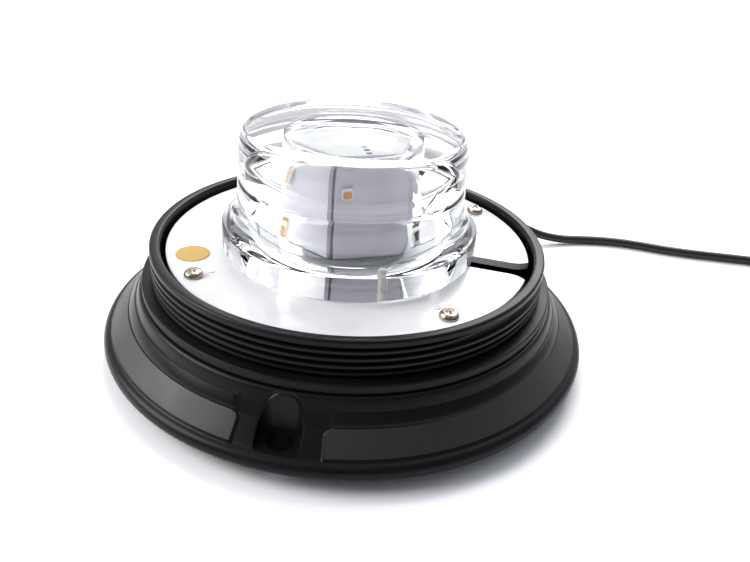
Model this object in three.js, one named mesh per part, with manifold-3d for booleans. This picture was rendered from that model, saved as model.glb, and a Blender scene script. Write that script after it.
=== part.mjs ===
// LED safety flare: the base unit of a three-bolt warning beacon, with its coloured dome unscrewed.
// A black moulded housing holds the driver board; a white plate closes it and carries a clear optic
// over a six-sided tower of LED boards. Millimetres, +Z up, origin in the middle of the foot.
import * as THREE from 'three';
import { mergeVertices } from 'three/addons/utils/BufferGeometryUtils.js';
import Module from 'manifold-3d';

const wasm = await Module();
wasm.setup();

// ---------------------------------------------------------------- driving dimensions
const GAP = 0.3;               // air kept between two pieces that touch
const WALL = 2.5;              // general wall of the moulding
const COLLAR_R = 57.3;         // radius over the thread crests
const COLLAR_WALL = 3.0;       // thread crest to the inside of the collar
const COLLAR_H = 13.3;         // collar above the skirt
const THREAD_DEPTH = 1.2;
const THREAD_PITCH = 2.03;
const THREAD_END_AZ = 54;      // direction in which the thread runs out at the top, degrees
const RIM_BAND = 2.3;          // plain band above the thread
const SEAL_SECTION = 2.6;      // height of the dome's seal ring
const SKIRT_H = 20;            // top of the skirt, above the surface it stands on
const FLANGE_REACH = 14.7;     // thread crests to the edge of the flange
const BEAD_R = 2.3;            // round bead along the flange's edge
const FOOT_H = 3.2;            // thickness of the mounting gasket
const FLOOR_T = 2.5;           // floor of the housing
const PANEL_PROUD = 0.7;       // how far the grained panels stand above the pocket zones
const BOLT_INSET = 7;          // bolt circle inside the flange's edge (130 mm circle)
const BOLT_HOLE_R = 3.2;       // M6 clearance
const POCKET_HALF_W = 5.6;     // room for the bolt's head
const POCKET_BACK = 3.7;       // bolt centre to the pocket's back wall
const POCKET_CORNER_R = 4.2;
const POCKET_ZONE = 9.5;       // half width of the smooth zone round a pocket, degrees
const PLATE_DROP = 2.2;        // white plate below the collar's rim
const PLATE_T = 2;
const PLATE_CLEARANCE = 1.4;   // plate to collar
const SCREW_INSET = 4.6;       // plate screws from the plate's edge
const SCREW_HEAD_R = 2.3;
const SCREW_HEAD_H = 1.7;
const SCREW_SHANK_R = 1.2;
const SCREW_L = 9;
const NOTCH_HALF_W = 3.5;      // lead notch in the plate
const NOTCH_MOUTH_HALF_W = 7.1;
const NOTCH_L = 18;
const NOTCH_TURN = -3.2;       // notch from +X, degrees
const DOT_R = 4.7;             // adhesive inspection dot
const DOT_INSET = 7.3;
const OPTIC_MARGIN = 9;        // plate screw heads to the optic's foot
const OPTIC_FOOT_H = 7;        // upright foot ring of the optic
const OPTIC_STEP = 4.7;        // foot ring to the body
const OPTIC_H = 34.1;          // optic above the plate
const OPTIC_ROOF = 1.3;        // thickness over the point of the cavity
const SHOULDER_W = 3.2;        // rounded shoulder of the optic
const SHOULDER_H = 5.7;
const CAVITY_CLEARANCE = 0.6;  // LEDs to the cavity wall
const TOWER_SIDES = 6;
const TOWER_TURN = -1;         // one edge of the tower, from the front bolt, degrees
const TOWER_H = 26.8;
const TOWER_FLAT = 15;         // middle of the tower to a face
const BOARD_T = 1.2;
const LED_T = 0.6;
const LED_W = 2.6;
const LED_OFFSET = 6;          // LED beside the middle of its board
const LED_DROP = 3.3;          // LEDs below the tower's top
const CAP_RISE = 3.2;          // white pointed cap on the tower
const DRIVER_R = 36;
const DRIVER_LIFT = 8;         // driver board above the housing floor
const DRIVER_T = 1.6;
const CORD_R = 1.6;            // two-core sheathed lead
const GLAND_AZ = 150;          // direction of the lead's exit, degrees
const GLAND_Z = 10.2;
const GLAND_BOSS_R = 5;
const COIL_LAYERS = 3;         // the lead's spare length lies three turns wide and three high
const COIL_R = 17.6;           // middle of the turns
const TIE_T = 0.8;
const ROUND = 40;              // facets of the large round pieces, a multiple of 4

// ---------------------------------------------------------------- sizes that follow
const flangeR = COLLAR_R + FLANGE_REACH;
const rootR = COLLAR_R - THREAD_DEPTH;
const boreR = COLLAR_R - COLLAR_WALL;
const rimZ = SKIRT_H + COLLAR_H;
const floorZ = FOOT_H + FLOOR_T;
const panelFoot = [flangeR - 2.5, FOOT_H + 2 * BEAD_R + 0.4];
const pocketFloor = panelFoot[1] - 0.3;
const panelHead = [COLLAR_R + 7.1, SKIRT_H - 6.2];
const bevelFoot = [panelHead[0] - 0.2, panelHead[1] + 0.5];
const bevelHead = [COLLAR_R + 5.2, SKIRT_H - 3.2];
const skirtHead = [COLLAR_R + 3.6, SKIRT_H];
const boltR = flangeR - BOLT_INSET;
const plateR = boreR - PLATE_CLEARANCE;
const plateTop = rimZ - PLATE_DROP;
const plateUnder = plateTop - PLATE_T;
const screwR = plateR - SCREW_INSET;
const opticFootR = screwR - SCREW_HEAD_R - OPTIC_MARGIN;
const opticBodyR = opticFootR - OPTIC_STEP;
const opticZ = plateTop + GAP;
const opticTop = plateTop + OPTIC_H;
const boardFlat = TOWER_FLAT + GAP + BOARD_T;
const ledFlat = boardFlat + GAP + LED_T;
const ledEnd = LED_OFFSET + LED_W / 2;
const cavityR = Math.hypot(ledFlat, ledEnd) + CAVITY_CLEARANCE;
const towerZ = plateTop + GAP;
const towerTop = towerZ + TOWER_H;
const driverZ = floorZ + DRIVER_LIFT;
const coilSection = COIL_LAYERS * CORD_R;

// ---------------------------------------------------------------- helpers
const radians = THREE.MathUtils.degToRad;

// A point at radius r in the direction az, counted from the front (-Y) towards +X.
function around(r, az) {
  return [r * Math.sin(radians(az)), -r * Math.cos(radians(az))];
}

// Merges a closed geometry's corners and hands it to manifold-3d.
function solid(geometry) {
  const bare = geometry.clone();
  bare.deleteAttribute('normal');
  bare.deleteAttribute('uv');
  const merged = mergeVertices(bare, 1e-4);
  const vertProperties = new Float32Array(merged.attributes.position.array);
  const triVerts = new Uint32Array(merged.index.array);
  return new wasm.Manifold(new wasm.Mesh({ numProp: 3, vertProperties, triVerts }));
}

// Brings a manifold back as a three.js geometry.
function geometryOf(manifold) {
  const mesh = manifold.getMesh();
  const geometry = new THREE.BufferGeometry();
  geometry.setAttribute('position', new THREE.BufferAttribute(mesh.vertProperties, mesh.numProp));
  geometry.setIndex(new THREE.BufferAttribute(mesh.triVerts, 1));
  return geometry;
}

// A [radius, height] profile turned about Z; it rises on its outer side.
function turned(profile, segments = ROUND) {
  const points = profile.map(([r, z]) => new THREE.Vector2(Math.max(r, 0), z));
  return new THREE.LatheGeometry(points, segments).rotateX(Math.PI / 2);
}

// The same for a ring: the profile closes on itself.
function ring(profile, segments = ROUND) {
  return turned([...profile, profile[0]], segments);
}

function rod(r, z0, z1, segments = 16) {
  return turned([[0, z0], [r, z0], [r, z1], [0, z1]], segments);
}

function box(x0, x1, y0, y1, z0, z1) {
  const geometry = new THREE.BoxGeometry(x1 - x0, y1 - y0, z1 - z0);
  return geometry.translate((x0 + x1) / 2, (y0 + y1) / 2, (z0 + z1) / 2);
}

// An outline in X and Y pulled up from z0 to z1.
function extruded(shape, z0, z1, curveSegments = 6) {
  const options = { depth: z1 - z0, bevelEnabled: false, curveSegments };
  return new THREE.ExtrudeGeometry(shape, options).translate(0, 0, z0);
}

// Turns a geometry made at the front (-Y side) round to the direction az.
function turnTo(geometry, az) {
  return geometry.rotateZ(radians(az));
}

// Points of an arc in a profile, centre (r, z), from angle a0 to a1 in degrees.
function arc(r, z, radius, a0, a1, steps) {
  return Array.from({ length: steps + 1 }, (_, i) => {
    const a = radians(a0 + ((a1 - a0) * i) / steps);
    return [r + radius * Math.cos(a), z + radius * Math.sin(a)];
  });
}

// A tube of n sides along a smooth curve through the points.
function tube(points, radius, steps, sides) {
  const curve = new THREE.CatmullRomCurve3(points.map((p) => new THREE.Vector3(...p)));
  const section = new THREE.Shape();
  for (let i = 0; i < sides; i += 1) {
    const a = (2 * Math.PI * i) / sides;
    const move = i === 0 ? 'moveTo' : 'lineTo';
    section[move](radius * Math.cos(a), radius * Math.sin(a));
  }
  return new THREE.ExtrudeGeometry(section, { steps, extrudePath: curve, bevelEnabled: false });
}

const beacon = new THREE.Group();
const finishes = {
  housing: { color: 0x1b1c1e, roughness: 0.5, metalness: 0 },
  rubber: { color: 0x141414, roughness: 0.75, metalness: 0 },
  plate: { color: 0xf1f2f4, roughness: 0.25, metalness: 0 },
  nickel: { color: 0xc9c2b4, roughness: 0.22, metalness: 1 },
  brass: { color: 0xc8a45a, roughness: 0.35, metalness: 1 },
  clear: { color: 0xf4f8fa, roughness: 0.04, metalness: 0, transparent: true, opacity: 0.35 },
  aluminium: { color: 0xb9bcc0, roughness: 0.4, metalness: 1 },
  mask: { color: 0xe4e3ee, roughness: 0.4, metalness: 0 },
  phosphor: { color: 0xe8a63a, roughness: 0.35, metalness: 0 },
  cap: { color: 0xf2f2f0, roughness: 0.35, metalness: 0 },
  laminate: { color: 0x1f5a3a, roughness: 0.45, metalness: 0 },
  black: { color: 0x161616, roughness: 0.45, metalness: 0 },
  sticker: { color: 0xf5cd55, roughness: 0.6, metalness: 0 },
  sheath: { color: 0x151515, roughness: 0.5, metalness: 0 },
  red: { color: 0xb3201c, roughness: 0.45, metalness: 0 },
  tinned: { color: 0xb7bac0, roughness: 0.3, metalness: 1 },
};

// Adds a named piece, made from a geometry or a manifold.
function piece(name, shape, finish, parent = beacon) {
  const geometry = shape.isBufferGeometry ? shape : geometryOf(shape);
  const mesh = new THREE.Mesh(geometry, new THREE.MeshStandardMaterial(finishes[finish]));
  mesh.name = name;
  parent.add(mesh);
  return mesh;
}

// ---------------------------------------------------------------- base housing
// One helical ridge of the external thread. Its root is sunk in the collar's wall, and its crest
// fades into the wall over a short lead at both ends.
function threadRidge() {
  const topZ = rimZ - RIM_BAND - 0.8;
  const footZ = SKIRT_H + GAP + SEAL_SECTION + 0.6;
  const turns = (topZ - footZ) / THREAD_PITCH;
  const steps = Math.round(turns * ROUND);
  const lead = Math.round(ROUND / 14);
  const rootHalf = 0.38 * THREAD_PITCH;
  const crestHalf = 0.13 * THREAD_PITCH;
  const sunkR = rootR - 0.5;
  const facet = 360 / ROUND;
  const vertices = [];
  for (let i = 0; i <= steps; i += 1) {
    const fade = Math.min(1, i / lead, (steps - i) / lead);
    const crestR = rootR - 0.1 + (COLLAR_R - rootR + 0.1) * fade;
    const z = topZ - (THREAD_PITCH * i) / ROUND;
    const az = facet * (Math.round(THREAD_END_AZ / facet) - i);
    const section = [[sunkR, z - rootHalf], [crestR, z - crestHalf], [crestR, z + crestHalf], [sunkR, z + rootHalf]];
    section.forEach(([r, height]) => vertices.push(...around(r, az), height));
  }
  const corners = 4;
  const triangles = [];
  for (let i = 0; i < steps; i += 1) {
    for (let j = 0; j < corners; j += 1) {
      const a = i * corners + j;
      const b = i * corners + ((j + 1) % corners);
      triangles.push(a, b, a + corners, b, b + corners, a + corners);
    }
  }
  const last = steps * corners;
  triangles.push(0, 2, 1, 0, 3, 2, last, last + 1, last + 2, last, last + 2, last + 3);
  const geometry = new THREE.BufferGeometry();
  geometry.setAttribute('position', new THREE.Float32BufferAttribute(vertices, 3));
  geometry.setIndex(triangles);
  return geometry;
}

// The outline of a bolt pocket seen from above, at the front: straight sides, round back corners.
function pocketShape() {
  const back = -(boltR - POCKET_BACK);
  const front = -(flangeR + 2);
  const shape = new THREE.Shape();
  shape.moveTo(-POCKET_HALF_W, front);
  shape.lineTo(POCKET_HALF_W, front);
  shape.lineTo(POCKET_HALF_W, back - POCKET_CORNER_R);
  shape.absarc(POCKET_HALF_W - POCKET_CORNER_R, back - POCKET_CORNER_R, POCKET_CORNER_R, 0, Math.PI / 2);
  shape.absarc(POCKET_CORNER_R - POCKET_HALF_W, back - POCKET_CORNER_R, POCKET_CORNER_R, Math.PI / 2, Math.PI);
  shape.closePath();
  return shape;
}

const boltAzimuths = [0, 120, 240];
const screwAzimuths = [45, 135, 225, 315];

// The smooth zone round a pocket: all that stands above a plain cone, within a few degrees.
function pocketZone(az) {
  const reach = flangeR + 10;
  const half = reach * Math.tan(radians(POCKET_ZONE));
  const wedge = new THREE.Shape([[0, 0], [-half, -reach], [half, -reach]].map((p) => new THREE.Vector2(...p)));
  const outside = ring([
    [panelFoot[0] - PANEL_PROUD * 0.6, panelFoot[1] - 0.2], [flangeR + 5, panelFoot[1] - 0.2],
    [flangeR + 5, SKIRT_H - 0.2], [skirtHead[0] - 0.4, SKIRT_H - 0.2],
  ]);
  return solid(outside).intersect(solid(turnTo(extruded(wedge, 0, SKIRT_H + 1), az)));
}

// The hollow under the skirt, left full at the pockets, at the lead's exit and at the ribs.
function skirtHollow() {
  const hollow = ring([
    [COLLAR_R + 0.5, 0], [flangeR - 2 * BEAD_R, 0], [flangeR - 2 * BEAD_R, panelFoot[1] - 2],
    [panelHead[0] - 2, panelHead[1] - 1.6], [bevelHead[0] - 2.3, bevelHead[1] - 2], [COLLAR_R + 0.5, bevelHead[1] - 2],
  ]);
  let result = solid(hollow);
  const keep = (az, halfWidth) => {
    const block = box(-halfWidth, halfWidth, -flangeR, 0, -1, SKIRT_H);
    result = result.subtract(solid(turnTo(block, az)));
  };
  boltAzimuths.forEach((az) => keep(az, POCKET_HALF_W + WALL));
  keep(GLAND_AZ, GLAND_BOSS_R);
  [60, 90, 180, 210, 300].forEach((az) => keep(az, WALL / 2));
  return result;
}

// A radial rod at the lead's exit, from radius r0 to r1.
function glandRod(radius, r0, r1, segments = 16) {
  const geometry = rod(radius, r0, r1, segments).rotateX(Math.PI / 2);
  return turnTo(geometry.translate(0, 0, GLAND_Z), GLAND_AZ);
}

const glandBoreR = 3;
const ventR = 3;
const ventX = -24;
const insertR = 2;
const insertL = 5;
const bossR = 4;

function baseHousing() {
  const rimChamfer = 0.4;
  const outline = [
    [0, FOOT_H], ...arc(flangeR - BEAD_R, FOOT_H + BEAD_R, BEAD_R, -90, 90, 6), panelFoot,
    panelHead, bevelFoot, bevelHead, [bevelHead[0] - 0.4, bevelHead[1] + 0.1], [bevelHead[0] - 0.4, bevelHead[1] + 0.3],
    skirtHead, [rootR, SKIRT_H], [rootR, rimZ - RIM_BAND], [COLLAR_R, rimZ - RIM_BAND + 0.4],
    [COLLAR_R, rimZ - rimChamfer], [COLLAR_R - rimChamfer, rimZ], [boreR + rimChamfer, rimZ], [boreR, rimZ - rimChamfer],
    [boreR, floorZ], [0, floorZ],
  ];
  let body = solid(turned(outline)).add(solid(threadRidge()));
  boltAzimuths.forEach((az) => { body = body.subtract(pocketZone(az)); });
  body = body.subtract(skirtHollow());
  body = body.add(solid(glandRod(GLAND_BOSS_R, boreR + 1, flangeR)));
  screwAzimuths.forEach((az) => {
    const [x, y] = around(screwR, az);
    const boss = rod(bossR, floorZ - 0.5, plateUnder - GAP).translate(x, y, 0);
    const bore = rod(insertR + GAP, plateUnder - GAP - SCREW_L, plateUnder + 1, 12).translate(x, y, 0);
    body = body.add(solid(boss)).subtract(solid(bore));
  });
  driverPosts().forEach(([x, y]) => {
    const post = rod(3, floorZ - 0.5, driverZ - GAP, 12).translate(x, y, 0);
    const bore = rod(SCREW_SHANK_R + GAP, driverZ - DRIVER_LIFT + 1, driverZ + 1, 8).translate(x, y, 0);
    body = body.add(solid(post)).subtract(solid(bore));
  });
  boltAzimuths.forEach((az) => {
    const [x, y] = around(boltR, az);
    body = body.subtract(solid(turnTo(extruded(pocketShape(), pocketFloor, SKIRT_H + 1), az)));
    body = body.subtract(solid(rod(BOLT_HOLE_R, 0, pocketFloor + 1).translate(x, y, 0)));
  });
  body = body.subtract(solid(glandRod(glandBoreR, boreR - 4, flangeR + 5)));
  return body.subtract(solid(rod(ventR, 0, floorZ + 1, 12).translate(ventX, 0, 0)));
}

function driverPosts() {
  return [0, 120, 240].map((az) => around(DRIVER_R - 5, az + 60));
}

piece('base_housing', baseHousing(), 'housing');

// ---------------------------------------------------------------- gasket, seal and vent
function mountingGasket() {
  const outer = flangeR - 6.9;
  let gasket = solid(ring([[outer - 9, 0], [outer, 0], [outer, FOOT_H - GAP], [outer - 9, FOOT_H - GAP]]));
  boltAzimuths.forEach((az) => {
    const [x, y] = around(boltR, az);
    gasket = gasket.subtract(solid(rod(BOLT_HOLE_R + 0.4, -1, FOOT_H + 1).translate(x, y, 0)));
  });
  return gasket;
}
piece('mounting_gasket', mountingGasket(), 'rubber');

const sealMidR = (rootR + GAP + skirtHead[0] - 1) / 2;
const sealHalfW = (skirtHead[0] - 1 - rootR - GAP) / 2;
const sealOutline = arc(0, 0, 1, 0, 300, 5).map(([x, z]) => [
  sealMidR + sealHalfW * x, SKIRT_H + GAP + (SEAL_SECTION / 2) * (1 + z),
]);
piece('dome_seal_ring', ring(sealOutline), 'rubber');

piece('breather_vent', turned([
  [0, 0.6], [4.6, 0.6], [5, 1.2], [5, FOOT_H - GAP], [ventR - GAP, FOOT_H - GAP],
  [ventR - GAP, floorZ + 1.2], [0, floorZ + 1.2],
], 16).translate(ventX, 0, 0), 'black');

// ---------------------------------------------------------------- white plate and its fasteners
// The lead notch: a slot that opens out towards the plate's edge, cut along +X.
function notchShape() {
  const inner = plateR - NOTCH_L;
  const mouth = plateR - 5.4;
  const shape = new THREE.Shape();
  shape.moveTo(inner, -NOTCH_HALF_W);
  shape.lineTo(mouth, -NOTCH_HALF_W);
  shape.quadraticCurveTo(plateR - 1, -NOTCH_HALF_W, plateR + 1, -NOTCH_MOUTH_HALF_W);
  shape.lineTo(plateR + 1, NOTCH_MOUTH_HALF_W);
  shape.quadraticCurveTo(plateR - 1, NOTCH_HALF_W, mouth, NOTCH_HALF_W);
  shape.lineTo(inner, NOTCH_HALF_W);
  shape.closePath();
  return shape;
}

const towerScrews = [0, 180];
const towerScrewR = 12;
const opticScrewR = (cavityR + opticFootR) / 2;
const opticScrews = [30, 150, 270];
const leadHoleR = 5;

function reflectorPlate() {
  let plate = solid(rod(plateR, plateUnder, plateTop, ROUND));
  const drill = (r, az, radius) => {
    const [x, y] = around(r, az);
    plate = plate.subtract(solid(rod(radius, plateUnder - 1, plateTop + 1, 12).translate(x, y, 0)));
  };
  screwAzimuths.forEach((az) => drill(screwR, az, SCREW_SHANK_R + GAP));
  towerScrews.forEach((az) => drill(towerScrewR, az, SCREW_SHANK_R + GAP));
  opticScrews.forEach((az) => drill(opticScrewR, az, SCREW_SHANK_R + GAP));
  drill(0, 0, leadHoleR);
  const notch = extruded(notchShape(), plateUnder - 1, plateTop + 1).rotateZ(radians(NOTCH_TURN));
  return plate.subtract(solid(notch));
}
piece('reflector_plate', reflectorPlate(), 'plate');

// A pan-head screw standing on z = 0; the ones in sight get the cross recess in their heads.
function panScrew(length, crossed = false) {
  const body = solid(turned([
    [0, -length], [SCREW_SHANK_R - 0.4, -length], [SCREW_SHANK_R, -length + 0.5], [SCREW_SHANK_R, 0],
    [SCREW_HEAD_R, 0], [SCREW_HEAD_R, 0.7], [SCREW_HEAD_R - 0.9, SCREW_HEAD_H], [0, SCREW_HEAD_H],
  ], 12));
  if (!crossed) return geometryOf(body);
  const arm = 1.25;
  const half = 0.3;
  const slot = solid(box(-arm, arm, -half, half, SCREW_HEAD_H - 0.9, SCREW_HEAD_H + 1));
  const cross = solid(box(-half, half, -arm, arm, SCREW_HEAD_H - 0.9, SCREW_HEAD_H + 1));
  return geometryOf(body.subtract(slot.add(cross)));
}

// Places copies of a geometry on a circle as separate named pieces.
function spread(name, geometry, finish, radius, azimuths, z) {
  azimuths.forEach((az, i) => {
    const [x, y] = around(radius, az);
    piece(`${name}_${i + 1}`, geometry.clone().translate(x, y, z), finish);
  });
}

spread('plate_screw', panScrew(SCREW_L, true), 'nickel', screwR, screwAzimuths, plateTop + GAP);
const insertTop = plateUnder - GAP;
const insertBore = SCREW_SHANK_R + GAP;
const insert = ring([[insertBore, -insertL], [insertR, -insertL], [insertR, 0], [insertBore, 0]], 12);
spread('plate_insert', insert, 'brass', screwR, screwAzimuths, insertTop);

const dotR = plateR - DOT_INSET;
const [dotX, dotY] = around(dotR, 300);
piece('inspection_dot', rod(DOT_R, plateTop + 0.05, plateTop + 0.2, 32).translate(dotX, dotY, 0), 'sticker');

// ---------------------------------------------------------------- clear optic
function clearOptic() {
  const bodyFoot = opticZ + OPTIC_FOOT_H;
  const grooveZ = opticTop - 14;
  const shoulderR = opticBodyR - SHOULDER_W;
  const outline = [
    [0, opticTop - OPTIC_ROOF], [cavityR, towerTop + 2.4], [cavityR, opticZ],
    [opticFootR, opticZ], [opticFootR, bodyFoot], [opticFootR - 2.4, bodyFoot + 0.7],
    [opticBodyR + 1, bodyFoot + 3.4], [opticBodyR, bodyFoot + 7.6], [opticBodyR, grooveZ - 0.8],
    [opticBodyR - 0.8, grooveZ - 0.4], [opticBodyR - 0.8, grooveZ + 0.4], [opticBodyR, grooveZ + 0.8],
    [opticBodyR, opticTop - SHOULDER_H], ...arc(shoulderR, opticTop - SHOULDER_H, SHOULDER_H, 12, 78, 4).map(
      ([r, z]) => [shoulderR + ((r - shoulderR) * SHOULDER_W) / SHOULDER_H, z]),
    [shoulderR, opticTop], [0, opticTop],
  ];
  let optic = solid(turned(outline));
  opticScrews.forEach((az) => {
    const [x, y] = around(opticScrewR, az);
    optic = optic.subtract(solid(rod(SCREW_SHANK_R + GAP, opticZ - 1, opticZ + 6, 8).translate(x, y, 0)));
  });
  return optic;
}
piece('optic_lens', clearOptic(), 'clear');

const upwardScrew = panScrew(PLATE_T + 5).rotateX(Math.PI);
spread('optic_screw', upwardScrew, 'nickel', opticScrewR, opticScrews, plateUnder - GAP);

// ---------------------------------------------------------------- LED tower
// A regular outline with the tower's number of sides; flat is the distance to a side.
function towerShape(flat) {
  const corner = flat / Math.cos(Math.PI / TOWER_SIDES);
  const points = Array.from({ length: TOWER_SIDES }, (_, i) => {
    const [x, y] = around(corner, TOWER_TURN + (360 * i) / TOWER_SIDES);
    return new THREE.Vector2(x, y);
  });
  return new THREE.Shape(points);
}

const towerFootT = 2.4;
const towerBoreR = 9;
function ledTower() {
  const column = solid(extruded(towerShape(TOWER_FLAT), towerZ, towerTop));
  const foot = solid(rod(cavityR - GAP - 0.5, towerZ, towerZ + towerFootT, 32));
  let tower = column.add(foot).subtract(solid(rod(towerBoreR, towerZ - 1, towerTop + 1, 24)));
  towerScrews.forEach((az) => {
    const [x, y] = around(towerScrewR, az);
    tower = tower.subtract(solid(rod(SCREW_SHANK_R + GAP, towerZ - 1, towerZ + 6, 8).translate(x, y, 0)));
  });
  return tower;
}
piece('led_tower', ledTower(), 'aluminium');
spread('tower_screw', upwardScrew, 'nickel', towerScrewR, towerScrews, plateUnder - GAP);

const boardHalfW = (TOWER_FLAT + GAP) * Math.tan(Math.PI / TOWER_SIDES) - GAP;
const boardFootZ = towerZ + towerFootT + GAP;
for (let i = 0; i < TOWER_SIDES; i += 1) {
  const az = TOWER_TURN + (360 * (i + 0.5)) / TOWER_SIDES;
  const face = new THREE.Group();
  face.rotation.z = radians(az);
  const board = box(-boardHalfW, boardHalfW, -boardFlat, -TOWER_FLAT - GAP, boardFootZ, towerTop);
  piece(`led_board_${i + 1}`, board, 'mask', face);
  const middle = towerTop - LED_DROP;
  const led = box(-ledEnd, LED_W - ledEnd, -ledFlat, -boardFlat - GAP, middle - LED_W / 2, middle + LED_W / 2);
  piece(`led_package_${i + 1}`, led, 'phosphor', face);
  beacon.add(face);
}

function towerCap() {
  const brim = boardFlat - 0.6;
  const outline = towerShape(brim);
  const base = towerTop + GAP;
  const skirt = solid(extruded(outline, base, base + 1));
  const corner = brim / Math.cos(Math.PI / TOWER_SIDES);
  const peak = new THREE.ConeGeometry(corner, CAP_RISE, TOWER_SIDES).rotateX(Math.PI / 2);
  peak.rotateZ(Math.PI + radians(TOWER_TURN)).translate(0, 0, base + 1 + CAP_RISE / 2);
  const spigot = solid(rod(towerBoreR - GAP, towerTop - 4, base + 0.5, 24));
  let cap = skirt.add(solid(peak)).add(spigot);
  const facet = TOWER_TURN + 180 / TOWER_SIDES;
  [10.4, 12.6, 14.8].forEach((r) => {
    const pin = turnTo(box(-0.8, 0.8, -r - 0.55, -r + 0.55, base - 2, base + 8), facet);
    cap = cap.subtract(solid(pin).intersect(solid(rod(corner, base + 0.5, base + 8, 12))));
  });
  return cap;
}
piece('tower_cap', towerCap(), 'cap');

// ---------------------------------------------------------------- driver board, under the plate
function driverBoard() {
  let board = solid(rod(DRIVER_R, driverZ, driverZ + DRIVER_T, 32));
  driverPosts().forEach(([x, y]) => {
    board = board.subtract(solid(rod(SCREW_SHANK_R + GAP, driverZ - 1, driverZ + 3, 8).translate(x, y, 0)));
  });
  return board;
}
piece('driver_board', driverBoard(), 'laminate');
const boardTop = driverZ + DRIVER_T + GAP;
driverPosts().forEach(([x, y], i) => {
  piece(`driver_screw_${i + 1}`, panScrew(6).translate(x, y, boardTop), 'nickel');
});

function can(r, h, x, y) {
  const outline = [[0, 0], [r, 0], [r, h - 0.6], [r - 0.6, h], [0, h]];
  return turned(outline, 16).translate(x, y, boardTop);
}
piece('smoothing_capacitor', can(5, 10, -12, 15), 'black');
piece('inductor', ring([[2.4, 0], [6, 0], [6, 4.5], [2.4, 4.5]], 16).translate(-18, 0, boardTop), 'black');
piece('controller_chip', box(-5, 5, -5, 5, boardTop, boardTop + 1.6), 'black');
piece('switch_transistor', box(12, 18, -10, -3, boardTop, boardTop + 2.4), 'black');
const [terminalX, terminalY] = around(27, GLAND_AZ);
piece('supply_terminal', box(terminalX - 5, terminalX + 5, terminalY - 4, terminalY + 4, boardTop, boardTop + 8), 'laminate');

const leadTopZ = plateTop - 0.5;
[['led_lead_red', 'red', -1.6], ['led_lead_black', 'black', 1.6]].forEach(([name, finish, x]) => {
  const route = [[x * 3, -16, boardTop + 1], [x * 3, -14, boardTop + 4], [x * 2, -7, boardTop + 8], [x, -1, plateUnder - 3],
    [x, 0, leadTopZ], [x, 0, towerZ + 6]];
  piece(name, tube(route, 0.7, 14, 6), finish);
});

// ---------------------------------------------------------------- strain relief and supply lead
const reliefTip = flangeR + 15;
function strainRelief() {
  const outline = [
    [0, boreR - 5], [4.2, boreR - 5], [4.2, boreR - 1], [glandBoreR - GAP, boreR - 1], [glandBoreR - GAP, flangeR + GAP],
    [4.2, flangeR + GAP], [4.2, flangeR + 1.8], [3.3, flangeR + 2.2], [2.3, reliefTip], [0, reliefTip],
  ];
  return turnTo(turned(outline, 16).rotateX(Math.PI / 2).translate(0, 0, GLAND_Z), GLAND_AZ);
}
piece('strain_relief', strainRelief(), 'rubber');

const innerRoute = [[boreR - 5 - GAP, GLAND_Z], [boreR - 7.5, GLAND_Z], [boreR - 13, GLAND_Z + 3], [38, boardTop + 3.4], [35, boardTop + 4]];
piece('inner_lead', tube(innerRoute.map(([r, z]) => [...around(r, GLAND_AZ), z]), CORD_R, 12, 8), 'sheath');

// The free lead: out of the strain relief, down to the surface and along it to the coil.
const lieZ = CORD_R;
const exitPoint = [...around(reliefTip + GAP, GLAND_AZ), GLAND_Z];
const exitStraight = [...around(reliefTip + 3, GLAND_AZ), GLAND_Z];
const route = [
  exitPoint, exitStraight, [48.6, 80.6, 8.6], [53.6, 82.6, 6.0], [60.0, 84.0, 3.6], [67.6, 86.6, 2.0],
  [75.6, 89.4, lieZ], [83.5, 91.2, lieZ], [91.5, 92.1, lieZ], [99.3, 91.9, lieZ], [107.1, 91.2, lieZ], [114.7, 91.0, lieZ],
  [122.4, 91.3, lieZ], [130.1, 91.8, lieZ], [137.6, 92.3, lieZ], [144.4, 92.7, lieZ], [151.0, 93.1, lieZ],
  [159.8, 93.8, lieZ],
];
piece('supply_lead', tube(route, CORD_R, 42, 8), 'sheath');

// The spare length, wound in a coil: one closed ring of the coil's outer shape, pinched by its tie.
const coilCentre = [174, 74];
const coilIn = COIL_R - coilSection;
const coilOut = COIL_R + coilSection;
const coilTop = 2 * coilSection;
const soft = 0.8;
const coilOutline = [
  [coilIn, soft], [coilIn + soft, 0], [coilOut - soft, 0], [coilOut, soft], [coilOut, coilTop - soft],
  [coilOut - soft, coilTop], [coilIn + soft, coilTop], [coilIn, coilTop - soft],
];

// A strap lying round the coil's section at its +X side, in the plane of the section.
function strapBlock(inset, halfWidth) {
  const ends = [coilIn - TIE_T + inset, coilOut + TIE_T - inset];
  return solid(box(ends[0] + TIE_T, ends[1] - TIE_T, -halfWidth, halfWidth, inset, coilTop - inset));
}
const strapHalfW = 1.3;
const squeeze = TIE_T + GAP;
const coilBand = strapBlock(-1, strapHalfW + GAP).subtract(strapBlock(squeeze, strapHalfW + 2));
const strap = strapBlock(0, strapHalfW).subtract(strapBlock(TIE_T, strapHalfW + 1));
const atCoil = (shape) => geometryOf(shape).translate(...coilCentre, 0);
piece('supply_lead_coil', atCoil(solid(ring(coilOutline)).subtract(coilBand)), 'sheath');
piece('coil_tie', atCoil(strap), 'black');

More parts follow.
